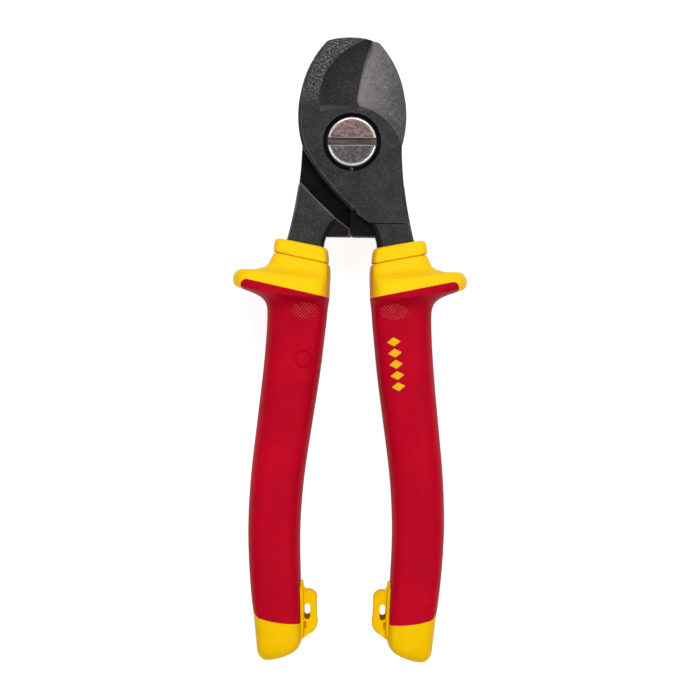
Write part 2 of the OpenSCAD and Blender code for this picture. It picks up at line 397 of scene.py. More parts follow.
    def split_off(self, y: float, name: str) -> Workpiece:
        """Parts off the loose pieces below a height, and returns them."""
        with self.editing("VERT", everything=False):
            shape = bmesh.from_edit_mesh(self.obj.data)
            for vert in shape.verts:
                vert.select_set(vert.co.y < y)
            shape.select_flush_mode()
            bmesh.update_edit_mesh(self.obj.data)
            bpy.ops.mesh.separate(type="SELECTED")
        return Workpiece(name, next(o for o in bpy.context.selected_objects if o is not self.obj))

    def discard(self) -> None:
        """Removes the workpiece and its mesh."""
        mesh = self.obj.data
        bpy.data.objects.remove(self.obj)
        bpy.data.meshes.remove(mesh)

    def paint(self, *finishes: Finish, faces: Sequence[tuple[int, PairTest]] = ()) -> Workpiece:
        """Gives the piece its finishes.

        Args:
            finishes: The first of them is for every face that no test picks.
            faces: The number of another finish, and a test of a face's centre and normal. Later ones win.
        """
        self.obj.data.materials.clear()
        for finish in finishes:
            self.obj.data.materials.append(finish.material())
        for face in self.obj.data.polygons:
            picked = [index for index, wanted in faces if wanted(face.center, face.normal)]
            face.material_index = picked[-1] if picked else 0
        return self

    def release(self, pivot: Vector, body: str, slot: str, *nodes: str, angle: float = 32) -> None:
        """Takes the finished piece to its place on the tool.

        Args:
            pivot: The pivot's place in the row frame, in metres.
            body: The body that it moves with.
            slot: The record's material slot; not used.
            nodes: The nodes that it stands for.
            angle: Edges sharper than this many degrees stay sharp.
        """
        self.take_up()
        bpy.ops.object.shade_smooth_by_angle(angle=math.radians(angle))
        self.moved(Matrix.Translation(pivot) @ Matrix.Scale(MILLIMETRE, 4))
        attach(self.obj, body)
        if nodes:
            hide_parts(*nodes)
        LOG.info("%s: %d faces", self.obj.name, len(self.obj.data.polygons))


# ---------------------------------------------------------------- finishes


def math_method(operation: str, swapped: bool = False) -> Callable[[Wire, Wire | float], Wire]:
    """Makes a method that adds a Math node for that operation."""

    def method(self: Wire, other: Wire | float) -> Wire:
        pair = (other, self) if swapped else (self, other)
        return self.shader.node("Math", dict(enumerate(pair)), operation=operation)

    return method


class Wire:
    """A shader socket that takes part in Python arithmetic by adding Math nodes."""

    __add__ = __radd__ = math_method("ADD")
    __sub__ = math_method("SUBTRACT")
    __rsub__ = math_method("SUBTRACT", swapped=True)
    __mul__ = __rmul__ = math_method("MULTIPLY")
    __truediv__ = math_method("DIVIDE")
    at_least = math_method("MAXIMUM")
    at_most = math_method("MINIMUM")

    def __init__(self, shader: Shader, socket: bpy.types.NodeSocket) -> None:
        """Wraps a socket of a shader's tree."""
        self.shader = shader
        self.socket = socket

    def clamped(self) -> Wire:
        """The value held between 0 and 1."""
        return self.at_least(0.0).at_most(1.0)

    def over(self, low: float, high: float) -> Wire:
        """A mask that rises from 0 at low to 1 at high."""
        return ((self - low) / (high - low)).clamped()


class Shader:
    """A material's node tree with one Principled shader."""

    def __init__(self, name: str) -> None:
        """Makes an empty material of that name."""
        self.material = bpy.data.materials.new(name)
        self.material.use_nodes = True
        self.tree = self.material.node_tree

    def node(
        self, kind: str, sockets: dict | None = None, output: str | int = 0, **settings: object
    ) -> Wire:
        """Adds a node.

        Args:
            kind: The node's type, without the word that they all begin with.
            sockets: A value or a wire for each input, by name or number.
            output: The output that is wanted, by name or number.
            settings: Its own settings, which are made first.

        Returns:
            A wire from the output.
        """
        made = self.tree.nodes.new(f"ShaderNode{kind}")
        for name, value in settings.items():
            setattr(made, name, value)
        for name, value in (sockets or {}).items():
            self.feed(made.inputs[name], value)
        return Wire(self, made.outputs[output])

    def feed(self, socket: bpy.types.NodeSocket, value: Wire | float | Sequence[float]) -> None:
        """Links a wire to a socket, or sets its value."""
        if isinstance(value, Wire):
            self.tree.links.new(value.socket, socket)
        elif isinstance(value, (tuple, list)) and len(socket.default_value) == 4:
            socket.default_value = (*value[:3], 1.0)
        else:
            socket.default_value = value

    def set(self, **values: Wire | float | Sequence[float]) -> None:
        """Sets inputs of the Principled shader. An underscore stands for a space."""
        for name, value in values.items():
            self.feed(self.tree.nodes["Principled BSDF"].inputs[name.replace("_", " ")], value)

    def place(self, middle: Sequence[float] = (0, 0, 0), turn: float = 0, stretch: float = 1) -> Wire:
        """Object coordinates in millimetres.

        Args:
            middle: Where their zero lies, in the row frame, in metres.
            turn: Turn about the vertical, in degrees.
            stretch: How far a pattern is drawn out along X.
        """
        sockets = {
            "Vector": self.node("TexCoord", output="Object"),
            "Location": tuple(middle),
            "Rotation": (0, 0, math.radians(turn)),
            "Scale": (MILLIMETRE * stretch, MILLIMETRE, MILLIMETRE),
        }
        return self.node("Mapping", sockets, vector_type="TEXTURE")

    def noise(self, where: Wire, size: float, detail: float = 3, rough: float = 0.55) -> Wire:
        """Noise whose spots are about that many millimetres across."""
        sockets = {"Vector": where, "Scale": 1 / size, "Detail": detail, "Roughness": rough}
        return self.node("TexNoise", sockets, "Fac")

    def axis_of(self, where: Wire, axis: str) -> Wire:
        """One coordinate of a point."""
        return self.node("SeparateXYZ", {0: where}, axis)

    def length_of(self, where: Wire) -> Wire:
        """Distance of a point from the coordinates' zero, in the plane of the tool's face."""
        flat = self.node("CombineXYZ", {axis: self.axis_of(where, axis) for axis in "XY"})
        return self.node("VectorMath", {0: flat}, "Value", operation="LENGTH")

    def blend(self, factor: Wire | float, low: Wire | Colour, high: Wire | Colour) -> Wire:
        """Mixes two colours. A Mix node's colours are its inputs 6 and 7, and its output 2."""
        return self.node("Mix", {0: factor, 6: low, 7: high}, 2, data_type="RGBA")

    def relief(self, height: Wire, depth: float) -> None:
        """Raises the surface by a height wire, where 1 stands for that many millimetres."""
        sockets = {"Height": height, "Strength": 1.0, "Distance": depth * MILLIMETRE}
        self.set(Normal=self.node("Bump", sockets))


@dataclass(frozen=True)
class Finish:
    """A finish that is made into a material once, and then shared."""

    name: str

    def material(self) -> bpy.types.Material:
        """The finish's material."""
        found = bpy.data.materials.get(self.name)
        if found is None:
            shader = Shader(self.name)
            self.dress(shader)
            found = shader.material
        return found

    def dress(self, shader: Shader) -> None:
        """Sets up the shader; each finish has its own way."""
        raise NotImplementedError


@dataclass(frozen=True)
class ForgedSteel(Finish):
    """Blackened drop forging: pitted skin with bright specks, and where it is set, a painted highlight that
    pales it below a height.
    """

    dark: Colour = (0.010, 0.010, 0.0105)
    light: Colour = (0.024, 0.0235, 0.0235)
    speck: float = 0.17
    pit_size: float = 0.4
    pit_depth: float = 0.05
    speck_share: float = 0.72
    specular: float = 0.22
    metallic: float = 0.3
    rub_from: float = FAR
    # Painted highlight: below this height the colour turns pale, for the lit sloping end of the grinding.
    painted_highlight_below: float = -FAR
    pale: Colour = (0.045, 0.044, 0.044)

    def dress(self, shader: Shader) -> None:
        """Mottles the black, pales it below a set height as painted highlight, adds specks on the high spots
        and pits the surface.
        """
        where = shader.place()
        mottle = shader.noise(where, 3.5, 4)
        pits = shader.noise(where, self.pit_size, 5, 0.7)
        fine = shader.noise(where, self.pit_size / 3, 2)
        specks = (pits * fine * 2.6).over(self.speck_share, self.speck_share + 0.22)
        height = shader.axis_of(where, "Y")
        rubbed = height.over(self.rub_from, self.rub_from + 5)
        grains = shader.noise(where, self.pit_size * 1.1, 2, 0.7).over(0.5, 0.66) * rubbed
        ground = shader.blend(mottle.over(0.35, 0.7), self.dark, self.light)
        # Painted highlight: the colour turns pale below a set height.
        ground = shader.blend(height.over(self.painted_highlight_below, self.painted_highlight_below - 0.7), ground, self.pale)
        bright = (specks * 0.25 + grains).clamped()
        shader.set(
            Base_Color=shader.blend(bright, ground, (self.speck,) * 3),
            Roughness=(0.62 - specks * 0.2) + (mottle - 0.5) * 0.15,
            Metallic=self.metallic,
            Specular_IOR_Level=self.specular,
        )
        shader.relief(pits + fine * 0.5, self.pit_depth)


@dataclass(frozen=True)
class GroundSteel(Finish):
    """Steel ground by a wheel: soft cloudy grey with fine lines, lighter towards the cutting edge."""

    dark: Colour = (0.060, 0.059, 0.061)
    light: Colour = (0.17, 0.154, 0.152)
    metallic: float = 0.85
    rough: float = 0.42
    line_turn: float = 62
    fades_over: float = 15.0

    def dress(self, shader: Shader) -> None:
        """Clouds the grey and draws the wheel's lines."""
        where = shader.place()
        clouds = shader.noise(where, 4.5, 3)
        lines = shader.noise(shader.place(turn=self.line_turn, stretch=14), 0.3, 3, 0.7)
        grain = shader.noise(where, 0.5, 3, 0.75)
        fade = shader.axis_of(where, "X").over(self.fades_over, 0.0)
        tone = (clouds * 0.22 + lines * 0.3 + grain * 0.8 + fade * 0.5 - 0.28).over(0.44, 0.82)
        shader.set(
            Base_Color=shader.blend(tone, self.dark, self.light),
            Roughness=self.rough + (lines - 0.5) * 0.2,
            Metallic=self.metallic,
        )
        shader.relief(lines * 0.6 + grain * 0.4, 0.012)


@dataclass(frozen=True)
class TurnedPlate(Finish):
    """Plated bolt face with turning rings, and a painted reflection: warmer on its upper half, cooler on its
    lower.
    """

    middle: tuple[float, float, float] = (0, 0, 0)
    # Painted reflection: the tints of the upper and lower halves of the face.
    upper_reflection: Colour = (0.62, 0.42, 0.40)
    lower_reflection: Colour = (0.31, 0.275, 0.315)
    rough: float = 0.24
    ring_pitch: float = 0.62
    dulled: float = 0.4

    def dress(self, shader: Shader) -> None:
        """Paints a reflection into the plating, warm above and cool below, and cuts fine rings round the
        bolt's centre.
        """
        where = shader.place(self.middle)
        wobble = shader.noise(where, 2.2, 3)
        blotch = shader.noise(where, 0.8, 4)
        # Painted reflection: a wavy split between the warm upper half and the cool lower half.
        half = (shader.axis_of(where, "Y") + (wobble - 0.5) * 16).over(-0.5, 1.1)
        dull = (tuple(self.dulled * channel for channel in tone) for tone in (self.lower_reflection, self.upper_reflection))
        phase = shader.length_of(where) * (2 * math.pi / self.ring_pitch) + wobble * 5
        rings = shader.node("Math", {0: phase}, operation="SINE")
        streaks = (rings * 0.12 + blotch * 1.3 - 0.15).over(0.25, 0.8)
        bright = shader.blend(half, self.lower_reflection, self.upper_reflection)
        shader.set(
            Base_Color=shader.blend(streaks, shader.blend(half, *dull), bright),
            Roughness=self.rough + (blotch - 0.5) * 0.12,
            Metallic=1.0,
        )
        shader.relief(rings * 0.25 + blotch * 0.5, 0.006)


@dataclass(frozen=True)
class BrightSteel(Finish):
    """Plain bright plating on bevels, pin and nut, and a pale finish on the slot's bevels that is painted
    highlight.
    """

    tone: Colour
    rough: float
    metallic: float = 1.0
    contrast: float = 0.3
    streak: float = 1.0

    def dress(self, shader: Shader) -> None:
        """Breaks up the gloss a little."""
        scuffs = shader.noise(shader.place(stretch=self.streak), 0.9, 4)
        darker = tuple((1 - self.contrast) * channel for channel in self.tone)
        shader.set(
            Base_Color=shader.blend(scuffs.over(0.3, 0.7), darker, self.tone),
            Roughness=self.rough + (scuffs - 0.5) * 0.2,
            Metallic=self.metallic,
        )


@dataclass(frozen=True)
class MouldedPlastic(Finish):
    """Moulded plastic: even colour, faint flow clouds, a fine spark-eroded grain and, where set, painted
    shade on the inner flank.
    """

    tone: Colour = (0.80, 0.50, 0.006)
    shade: Colour = (0.77, 0.465, 0.005)
    cloud_size: float = 14
    grain_size: float = 0.25
    grain_depth: float = 0.010
    rough: float = 0.42
    specular: float = 0.018
    # Painted shade: within this distance of the tool's middle the colour turns to the flank colour below.
    painted_shade_within: float = 0.0
    flank: Colour = (0.62, 0.27, 0.003)

    def dress(self, shader: Shader) -> None:
        """Clouds the colour, paints shade on the inner flank where that is set, and adds the mould's grain.
        """
        where = shader.place()
        clouds = shader.noise(where, self.cloud_size, 3)
        marks = shader.noise(where, 1.6, 4)
        grain = shader.noise(where, self.grain_size, 2)
        tone = clouds.over(0.3, 0.7) * 0.7 + marks.over(0.35, 0.65) * 0.3
        colour = shader.blend(tone, self.shade, self.tone)
        # Painted shade: darker towards the middle of the tool, on the handles' inner flanks.
        if self.painted_shade_within > 0:
            across = shader.axis_of(where, "X")
            inner = (across * across).over(self.painted_shade_within**2, (self.painted_shade_within - 0.35) ** 2)
            colour = shader.blend(inner, colour, self.flank)
        shader.set(
            Base_Color=colour,
            Roughness=self.rough + (marks - 0.5) * 0.14 + (grain - 0.5) * 0.1,
            Specular_IOR_Level=self.specular,
        )
        shader.relief(grain + marks * 0.6, self.grain_depth)


@dataclass(frozen=True)
class PaleFloor(Finish):
    """Plain pale floor."""

    tone: Colour = (0.35, 0.35, 0.35)
    glow: float = 0.8

    def dress(self, shader: Shader) -> None:
        """Plain and dull, lit a little from below as a light table is."""
        shader.set(Base_Color=self.tone, Roughness=0.9, Specular_IOR_Level=0.1)
        shader.set(Emission_Color=(1, 1, 1), Emission_Strength=self.glow)


@dataclass(frozen=True)
class Finishes:
    """Every finish on the tool."""

    forged: ForgedSteel
    hollow: ForgedSteel
    # Painted shade: near-black for the counterbore, the lapped face below the blade and one face of each stop
    # lug.
    shade: ForgedSteel = ForgedSteel(
        "painted_shade_black", (0.002, 0.002, 0.002), (0.006, 0.005, 0.005), 0.02, 0.4, 0.02, 0.8, 0.05, 0.0
    )
    # Painted shade: brown-black for the other face of each stop lug, the inner bevels and the step's groove.
    shade_brown: ForgedSteel = ForgedSteel(
        "painted_shade_brown_black", (0.005, 0.004, 0.0036), (0.011, 0.0085, 0.0075), 0.04, 0.5, 0.03, 0.8, 0.12
    )
    blade: GroundSteel = GroundSteel("ground_blade_face")
    # Painted highlight: a lighter black for the bevels and the grinding's sloping end.
    edge_highlight: ForgedSteel = ForgedSteel(
        "painted_edge_highlight", (0.04, 0.039, 0.039), (0.085, 0.082, 0.08), 0.22, 0.5, 0.03, 0.7
    )
    bright: BrightSteel = BrightSteel("bright_plating", (0.8, 0.78, 0.76), 0.4, 0.6)
    # Dark plating for the slot, which on the groove inside the head's rim stands for painted shade.
    slot: BrightSteel = BrightSteel("slot_floor", (0.20, 0.168, 0.156), 0.34, 1.0, 0.8, 9)
    # Painted highlight: a pale, nearly plain finish for the bevels along the slot.
    glint: BrightSteel = BrightSteel("painted_glint_edge", (0.75, 0.73, 0.72), 0.4, 0.15)
    nut: BrightSteel = BrightSteel("zinc_plating", (0.52, 0.52, 0.50), 0.35)
    spring: BrightSteel = BrightSteel("dished_spring", (0.30, 0.29, 0.28), 0.4)
    # The yellow mouldings take painted shade on their inner flanks.
    yellow: MouldedPlastic = MouldedPlastic("moulded_yellow", painted_shade_within=6.3)
    cap: MouldedPlastic = MouldedPlastic("yellow_cap", (0.71, 0.425, 0.0006), (0.665, 0.385, 0.0005), 10)
    # Painted shade: darker orange for the tether eye's foot and recess, and brown for the floor of its
    # half-closed slot.
    flank: MouldedPlastic = MouldedPlastic("yellow_painted_shade", (0.62, 0.29, 0.001), (0.56, 0.24, 0.001), 8)
    pocket: MouldedPlastic = MouldedPlastic("yellow_pocket_painted_shade", (0.36, 0.12, 0.001), (0.28, 0.08, 0.001), 5)
    # Painted highlight: the knurl's pyramids are a lighter, pinker red than the grip.
    knurl: MouldedPlastic = MouldedPlastic("red_knurl_painted_highlight", (0.64, 0.10, 0.085), (0.44, 0.01, 0.02), 2, 0.3)
    red: MouldedPlastic = MouldedPlastic(
        "red_elastomer", (0.425, 0.0009, 0.013), (0.305, 0.0004, 0.010), 18, 0.35, 0.014, 0.52, 0.028
    )
    marks: MouldedPlastic = MouldedPlastic(
        "raised_yellow", (0.70, 0.40, 0.012), (0.62, 0.33, 0.008), 2, 0.2, 0.01, 0.45
    )
    floor: PaleFloor = PaleFloor("pale_floor")


# ---------------------------------------------------------------- the levers


@dataclass
class Lever:
    """One forged lever: jaw, half of the lap joint, neck, stop lug and the tang inside the handle."""

    plate_top: float
    lap_gap: float = 0.04
    blade_low: float = -2.6
    bore_r: float = 4.53
    tang_half: float = 2.6
    lug_half: float = 3.4
    lug_lap: float = 0.15
    lug_gap: float = 0.06
    face_step: float = 0.2
    neck_inner: float = 8.3
    chamfer: float = 0.8
    round: float = 0.5
    grind_middle: Point = (7.75, 13.9)
    grind_turn: float = 116.5
    grind_along: float = 13.9
    grind_across: float = 17.3
    grind_share: float = 0.8
    grind_floor: float = 8.2
    edge_thickness: float = 0.4

    def plate_outline(self) -> list[Point]:
        """Jaw, lap disc and the front of the neck."""
        return chain(
            arc3((5.05, 26.7), (3.65, 23.5), (2.65, 20), 8),
            arc3((2.6, 19.8), (1.85, 16), (1.2, 12), 8),
            arc3((1.2, 11.8), (1.35, 10.6), (2.0, 9.6), 6),
            arc3((2.4, 9.5), (8.1, 6.5), (12.45, 1), 14),
            arc3((12.6, 0.6), (13.05, -0.7), (13.2, -2), 4),
            arc3((13.2, -2.2), (13.95, -12), (15.6, -21.2), 14),
            [(4.75, -21.2), (4.4, -20.9)],
            arc3((1.5, -19), (-6.9, -10.6), (-12.8, -2), 18),
            arc3((-13.1, -1.2), (-14.3, 5.5), (-13.9, 12), 12),
            arc3((-13.8, 12.4), (-11.9, 19), (-7.3, 26.2), 14),
            arc3((-7.0, 26.5), (-6.6, 26.75), (-6.1, 26.9), 2),
            arc3((-6.1, 26.9), (-0.5, 27.6), (4.7, 26.85), 10),
        )

    def neck_outline(self) -> list[Point]:
        """Full-thickness neck, below the shoulder."""
        return chain(
            [(13.6, -10.6), (13.1, -11.0)],
            arc3((12.8, -11.3), (8.5, -15.7), (4.4, -19.5), 4),
            [(4.2, -20.1), (4.45, -21.2)],
            arc3((5.2, -22.4), (6.5, -25), (7.1, -28), 3),
            [(8.1, -31.4), (17.1, -31.4)],
            arc3((16.8, -26), (15.2, -19), (14.05, -12), 8),
        )

    def tang_outline(self) -> list[Point]:
        """Tang inside the handle."""
        return [
            (17.15, -30.5), (17.4, -42), (17.9, -60), (20, -80), (21.4, -100), (20.9, -113),
            (16.5, -113), (16.4, -100), (14.4, -80), (11.7, -60), (10.3, -42), (8, -30.5),
        ]  # fmt: skip

    def bowl(self) -> Matrix:
        """Takes a unit sphere to the grinding wheel's shallow bowl."""
        sweep = (1 - self.grind_share**2) ** 0.5
        depth = (self.plate_top - self.edge_thickness) / (1 - self.grind_share)
        middle = (*self.grind_middle, self.plate_top + depth * self.grind_share)
        size = Matrix.Diagonal((self.grind_along / sweep, self.grind_across / sweep, depth, 1))
        return Matrix.Translation(middle) @ Matrix.Rotation(math.radians(self.grind_turn), 4, "Z") @ size

    def drill(self, name: str, radius: float, low: float) -> Workpiece:
        """A cylinder that reaches from a height to above the lever."""
        high = self.plate_top + 1
        place = (0, 0, (low + high) / 2)
        return Workpiece.basic(
            name, "cylinder", vertices=96, radius=radius, depth=high - low, location=place
        )

    def plate(self, name: str, seat_r: float) -> Workpiece:
        """Jaw and lap disc, with the ground bowl and the counterbore."""
        top = self.plate_top
        upper = (top - 0.01, FAR)
        rim = between(x=(-FAR, 1.2), y=(-FAR, 13), z=upper)
        jaw = between(x=(-FAR, 5.4), y=(11.9, FAR), z=upper)
        plate = Workpiece.slab(name, self.plate_outline(), self.lap_gap, top)
        plate.round_edges(lambda a, b: rim(a, b) or (jaw(a, b) and a.x < 0), self.chamfer, 1)
        plate.round_edges(self.on_rim_line, 0.13, 1)
        plate.round_edges(between(x=(12.5, FAR), y=(-FAR, 1), z=upper), self.round, 3)
        plate.round_edges(between(y=(-FAR, -21.1), z=upper), 0.14, 1)
        wheel = Workpiece.basic("wheel", "uv_sphere", segments=128, ring_count=96, radius=1)
        wheel.moved(self.bowl()).bisect((0, self.grind_floor + 0.75, 3), (0.03, -1, -0.42))
        plate.combine(wheel, Cut.REMOVE)
        return plate.combine(self.drill("seat", seat_r, top - SEAT_DEPTH), Cut.REMOVE)

    def neck(self) -> Workpiece:
        """Neck between the lap disc and the handle."""
        front = (self.plate_top - self.face_step - 0.01, FAR)
        back = (-FAR, 0.01 - self.plate_top)
        inner = {"x": (-FAR, self.neck_inner), "y": (-FAR, -20)}
        inner_back = between(**inner, z=back)
        all_back = between(y=(-31, FAR), z=back)
        neck = Workpiece.slab(
            "neck", self.neck_outline(), -self.plate_top, self.plate_top - self.face_step
        )
        neck.round_edges(between(**inner, z=front), 1.5, 3)
        neck.round_edges(between(x=(14, FAR), z=front), self.round, 2)
        neck.round_edges(lambda a, b: all_back(a, b) and not inner_back(a, b), self.round, 2)
        return neck.round_edges(inner_back, 0.9, 3)

    def lug(self) -> Workpiece:
        """Front half of the stop lug, which laps over the other lever's heel."""
        side = -self.lug_lap
        outline = [(side, -17.2), (side, -24.6), (side + 0.4, -25), (7.4, -25), (7.4, -17.2)]
        lug = Workpiece.slab("lug", outline, self.lap_gap, self.lug_half)
        return lug.round_edges(between(y=(-FAR, -18.6), z=(3, FAR)), 0.3, 2)

    def heel(self) -> Workpiece:
        """Rear half of the stop lug."""
        side = self.lug_lap + self.lug_gap
        outline = [(side, -22.9), (side, -24.6), (side + 0.4, -25), (7.4, -25), (7.4, -19.6), (4.1, -19.9)]
        heel = Workpiece.slab("heel", outline, -self.lug_half, self.lap_gap + 0.05)
        return heel.round_edges(between(x=(-FAR, 7.3), z=(-FAR, -3)), 0.3, 2)

    def build(self, name: str, seat_r: float) -> Workpiece:
        """Models the lever, seen as the front one.

        Args:
            name: Name of the piece.
            seat_r: Radius of the counterbore.
        """
        lever = self.plate(name, seat_r)
        tang = Workpiece.slab("tang", self.tang_outline(), -self.tang_half, self.tang_half)
        for solid in (self.neck(), self.lug(), self.heel(), tang):
            lever.combine(solid, Cut.JOIN)
        groove = [(5.7, -21.55), (13.9, -21.55), (13.9, -21.2), (5.6, -21.2)]
        floor = self.plate_top - self.face_step - 0.22
        lever.combine(Workpiece.slab("step", groove, floor, self.plate_top + 1), Cut.REMOVE)
        lever.combine(self.drill("bore", self.bore_r, -self.plate_top - 1), Cut.REMOVE)
        return lever.bisect((0, -2.4, 0), (0.25, -1, 0), remove=False)

    def dress(self, lever: Workpiece, finishes: Finishes) -> Workpiece:
        """Blackens the lever, and leaves the grinding smooth and the blade's flat face bright. Its bevels are
        painted lighter as highlight, and its sheltered faces darker as shade.
        """
        # Lighter bevels are painted highlight; the darker finishes on the counterbore, the lapped face below
        # the blade, the stop lugs, the inner bevels and the step's groove are painted shade.
        numbered = (
            (3, self.is_chamfer),
            (1, self.is_ground),
            (4, self.is_sheltered),
            (5, lambda centre, normal: self.is_lug(centre, normal) and normal.z < 0),
            (4, lambda centre, normal: self.is_lug(centre, normal) and normal.z > 0),
            (5, self.is_inner_bevel),
            (2, lambda centre, normal: self.is_lapped(centre, normal) and centre.y > self.blade_low),
        )
        black, blade_and_highlight = (finishes.forged, finishes.hollow), (finishes.blade, finishes.edge_highlight)
        return lever.paint(*black, *blade_and_highlight, finishes.shade, finishes.shade_brown, faces=numbered)

    def on_rim_line(self, a: Vector, b: Vector) -> bool:
        """True for the edge along the top of the rim's chamfer, which is not on the outline itself."""
        near = between(x=(-FAR, 1.2), y=(-18.6, 26.6), z=(self.plate_top - 0.01, FAR))
        return near(a, b) and min(a.xy.length, b.xy.length) > 11 and a.y < 26.2

    def is_ground(self, centre: Vector, normal: Vector) -> bool:
        """True for a face that the grinding has left."""
        unit = self.bowl().inverted() @ centre
        return abs(unit.length - 1) < 0.012 and normal.z > 0.2 and centre.y > self.grind_floor

    def is_lug(self, centre: Vector, normal: Vector) -> bool:
        """True for the flat faces of the stop lug and its heel."""
        return abs(normal.z) > 0.9 and abs(abs(centre.z) - self.lug_half) < 0.02 and centre.y < -16

    def is_inner_bevel(self, centre: Vector, normal: Vector) -> bool:
        """True for the wide bevels that face the gap between the necks, and for the step's groove, which are
        painted dark as shade.
        """
        bevel = normal.x < -0.2 and 0.2 < abs(normal.z) < 0.97 and centre.x < 8.5 and centre.y < -20.3
        groove = -21.6 < centre.y < -21.15 and self.plate_top - 0.6 < centre.z < self.plate_top - 0.22
        return (bevel and abs(centre.z) > self.lug_half) or (groove and centre.x > 5.5)

    def is_lapped(self, centre: Vector, normal: Vector) -> bool:
        """True for a face that slides on the other lever."""
        return normal.z < -0.9 and abs(centre.z - self.lap_gap) < 0.02

    def is_sheltered(self, centre: Vector, normal: Vector) -> bool:
        """True inside the counterbore and on the lapped face below the blade, which are painted near-black as
        shade.
        """
        seat = self.plate_top - SEAT_DEPTH - 0.01
        in_seat = seat < centre.z < self.plate_top - 0.05 and centre.xy.length < REAR_SEAT_R + 0.1
        return in_seat or (self.is_lapped(centre, normal) and centre.y <= self.blade_low)

    def is_chamfer(self, centre: Vector, normal: Vector) -> bool:
        """True for the bevels and for the grinding's sloping end, which take a lighter finish as painted
        highlight.
        """
        sloping_end = normal.y > 0.8 and 0.2 < normal.z < 0.6 and 7.5 < centre.y < 11
        neck_edge = -0.93 < normal.z < -0.25 and centre.y < -9
        outer_edge = 0.25 < normal.z < 0.93 and centre.x > 13 and centre.y < -21
        step = 0.25 < normal.z < 0.93 and centre.x > 5 and -21.4 < centre.y < -21
        rim = 0.8 < normal.z < 0.97 and centre.x < 1.5 and centre.y < 13
        return sloping_end or neck_edge or rim or step or outer_edge


# ---------------------------------------------------------------- the pivot


def turned(name: str, steps: Sequence[Point], sides: int = 96) -> Workpiece:
    """Turns a round solid from its bottom face up.

    Args:
        name: Name of the piece.
        steps: Radius and height of each step of the profile.
        sides: Sides of the round.
    """
    radius, height = steps[0]
    piece = Workpiece.basic(
        name, "circle", vertices=sides, radius=radius, fill_type="NGON", location=(0, 0, height)
    )
    with piece.editing("FACE"):
        for (r0, z0), (r1, z1) in zip(steps, steps[1:], strict=False):
            extrude_up(z1 - z0)
            bpy.ops.transform.resize(value=(r1 / r0, r1 / r0, 1), center_override=(0, 0, z1))
        face_outward()
    return piece


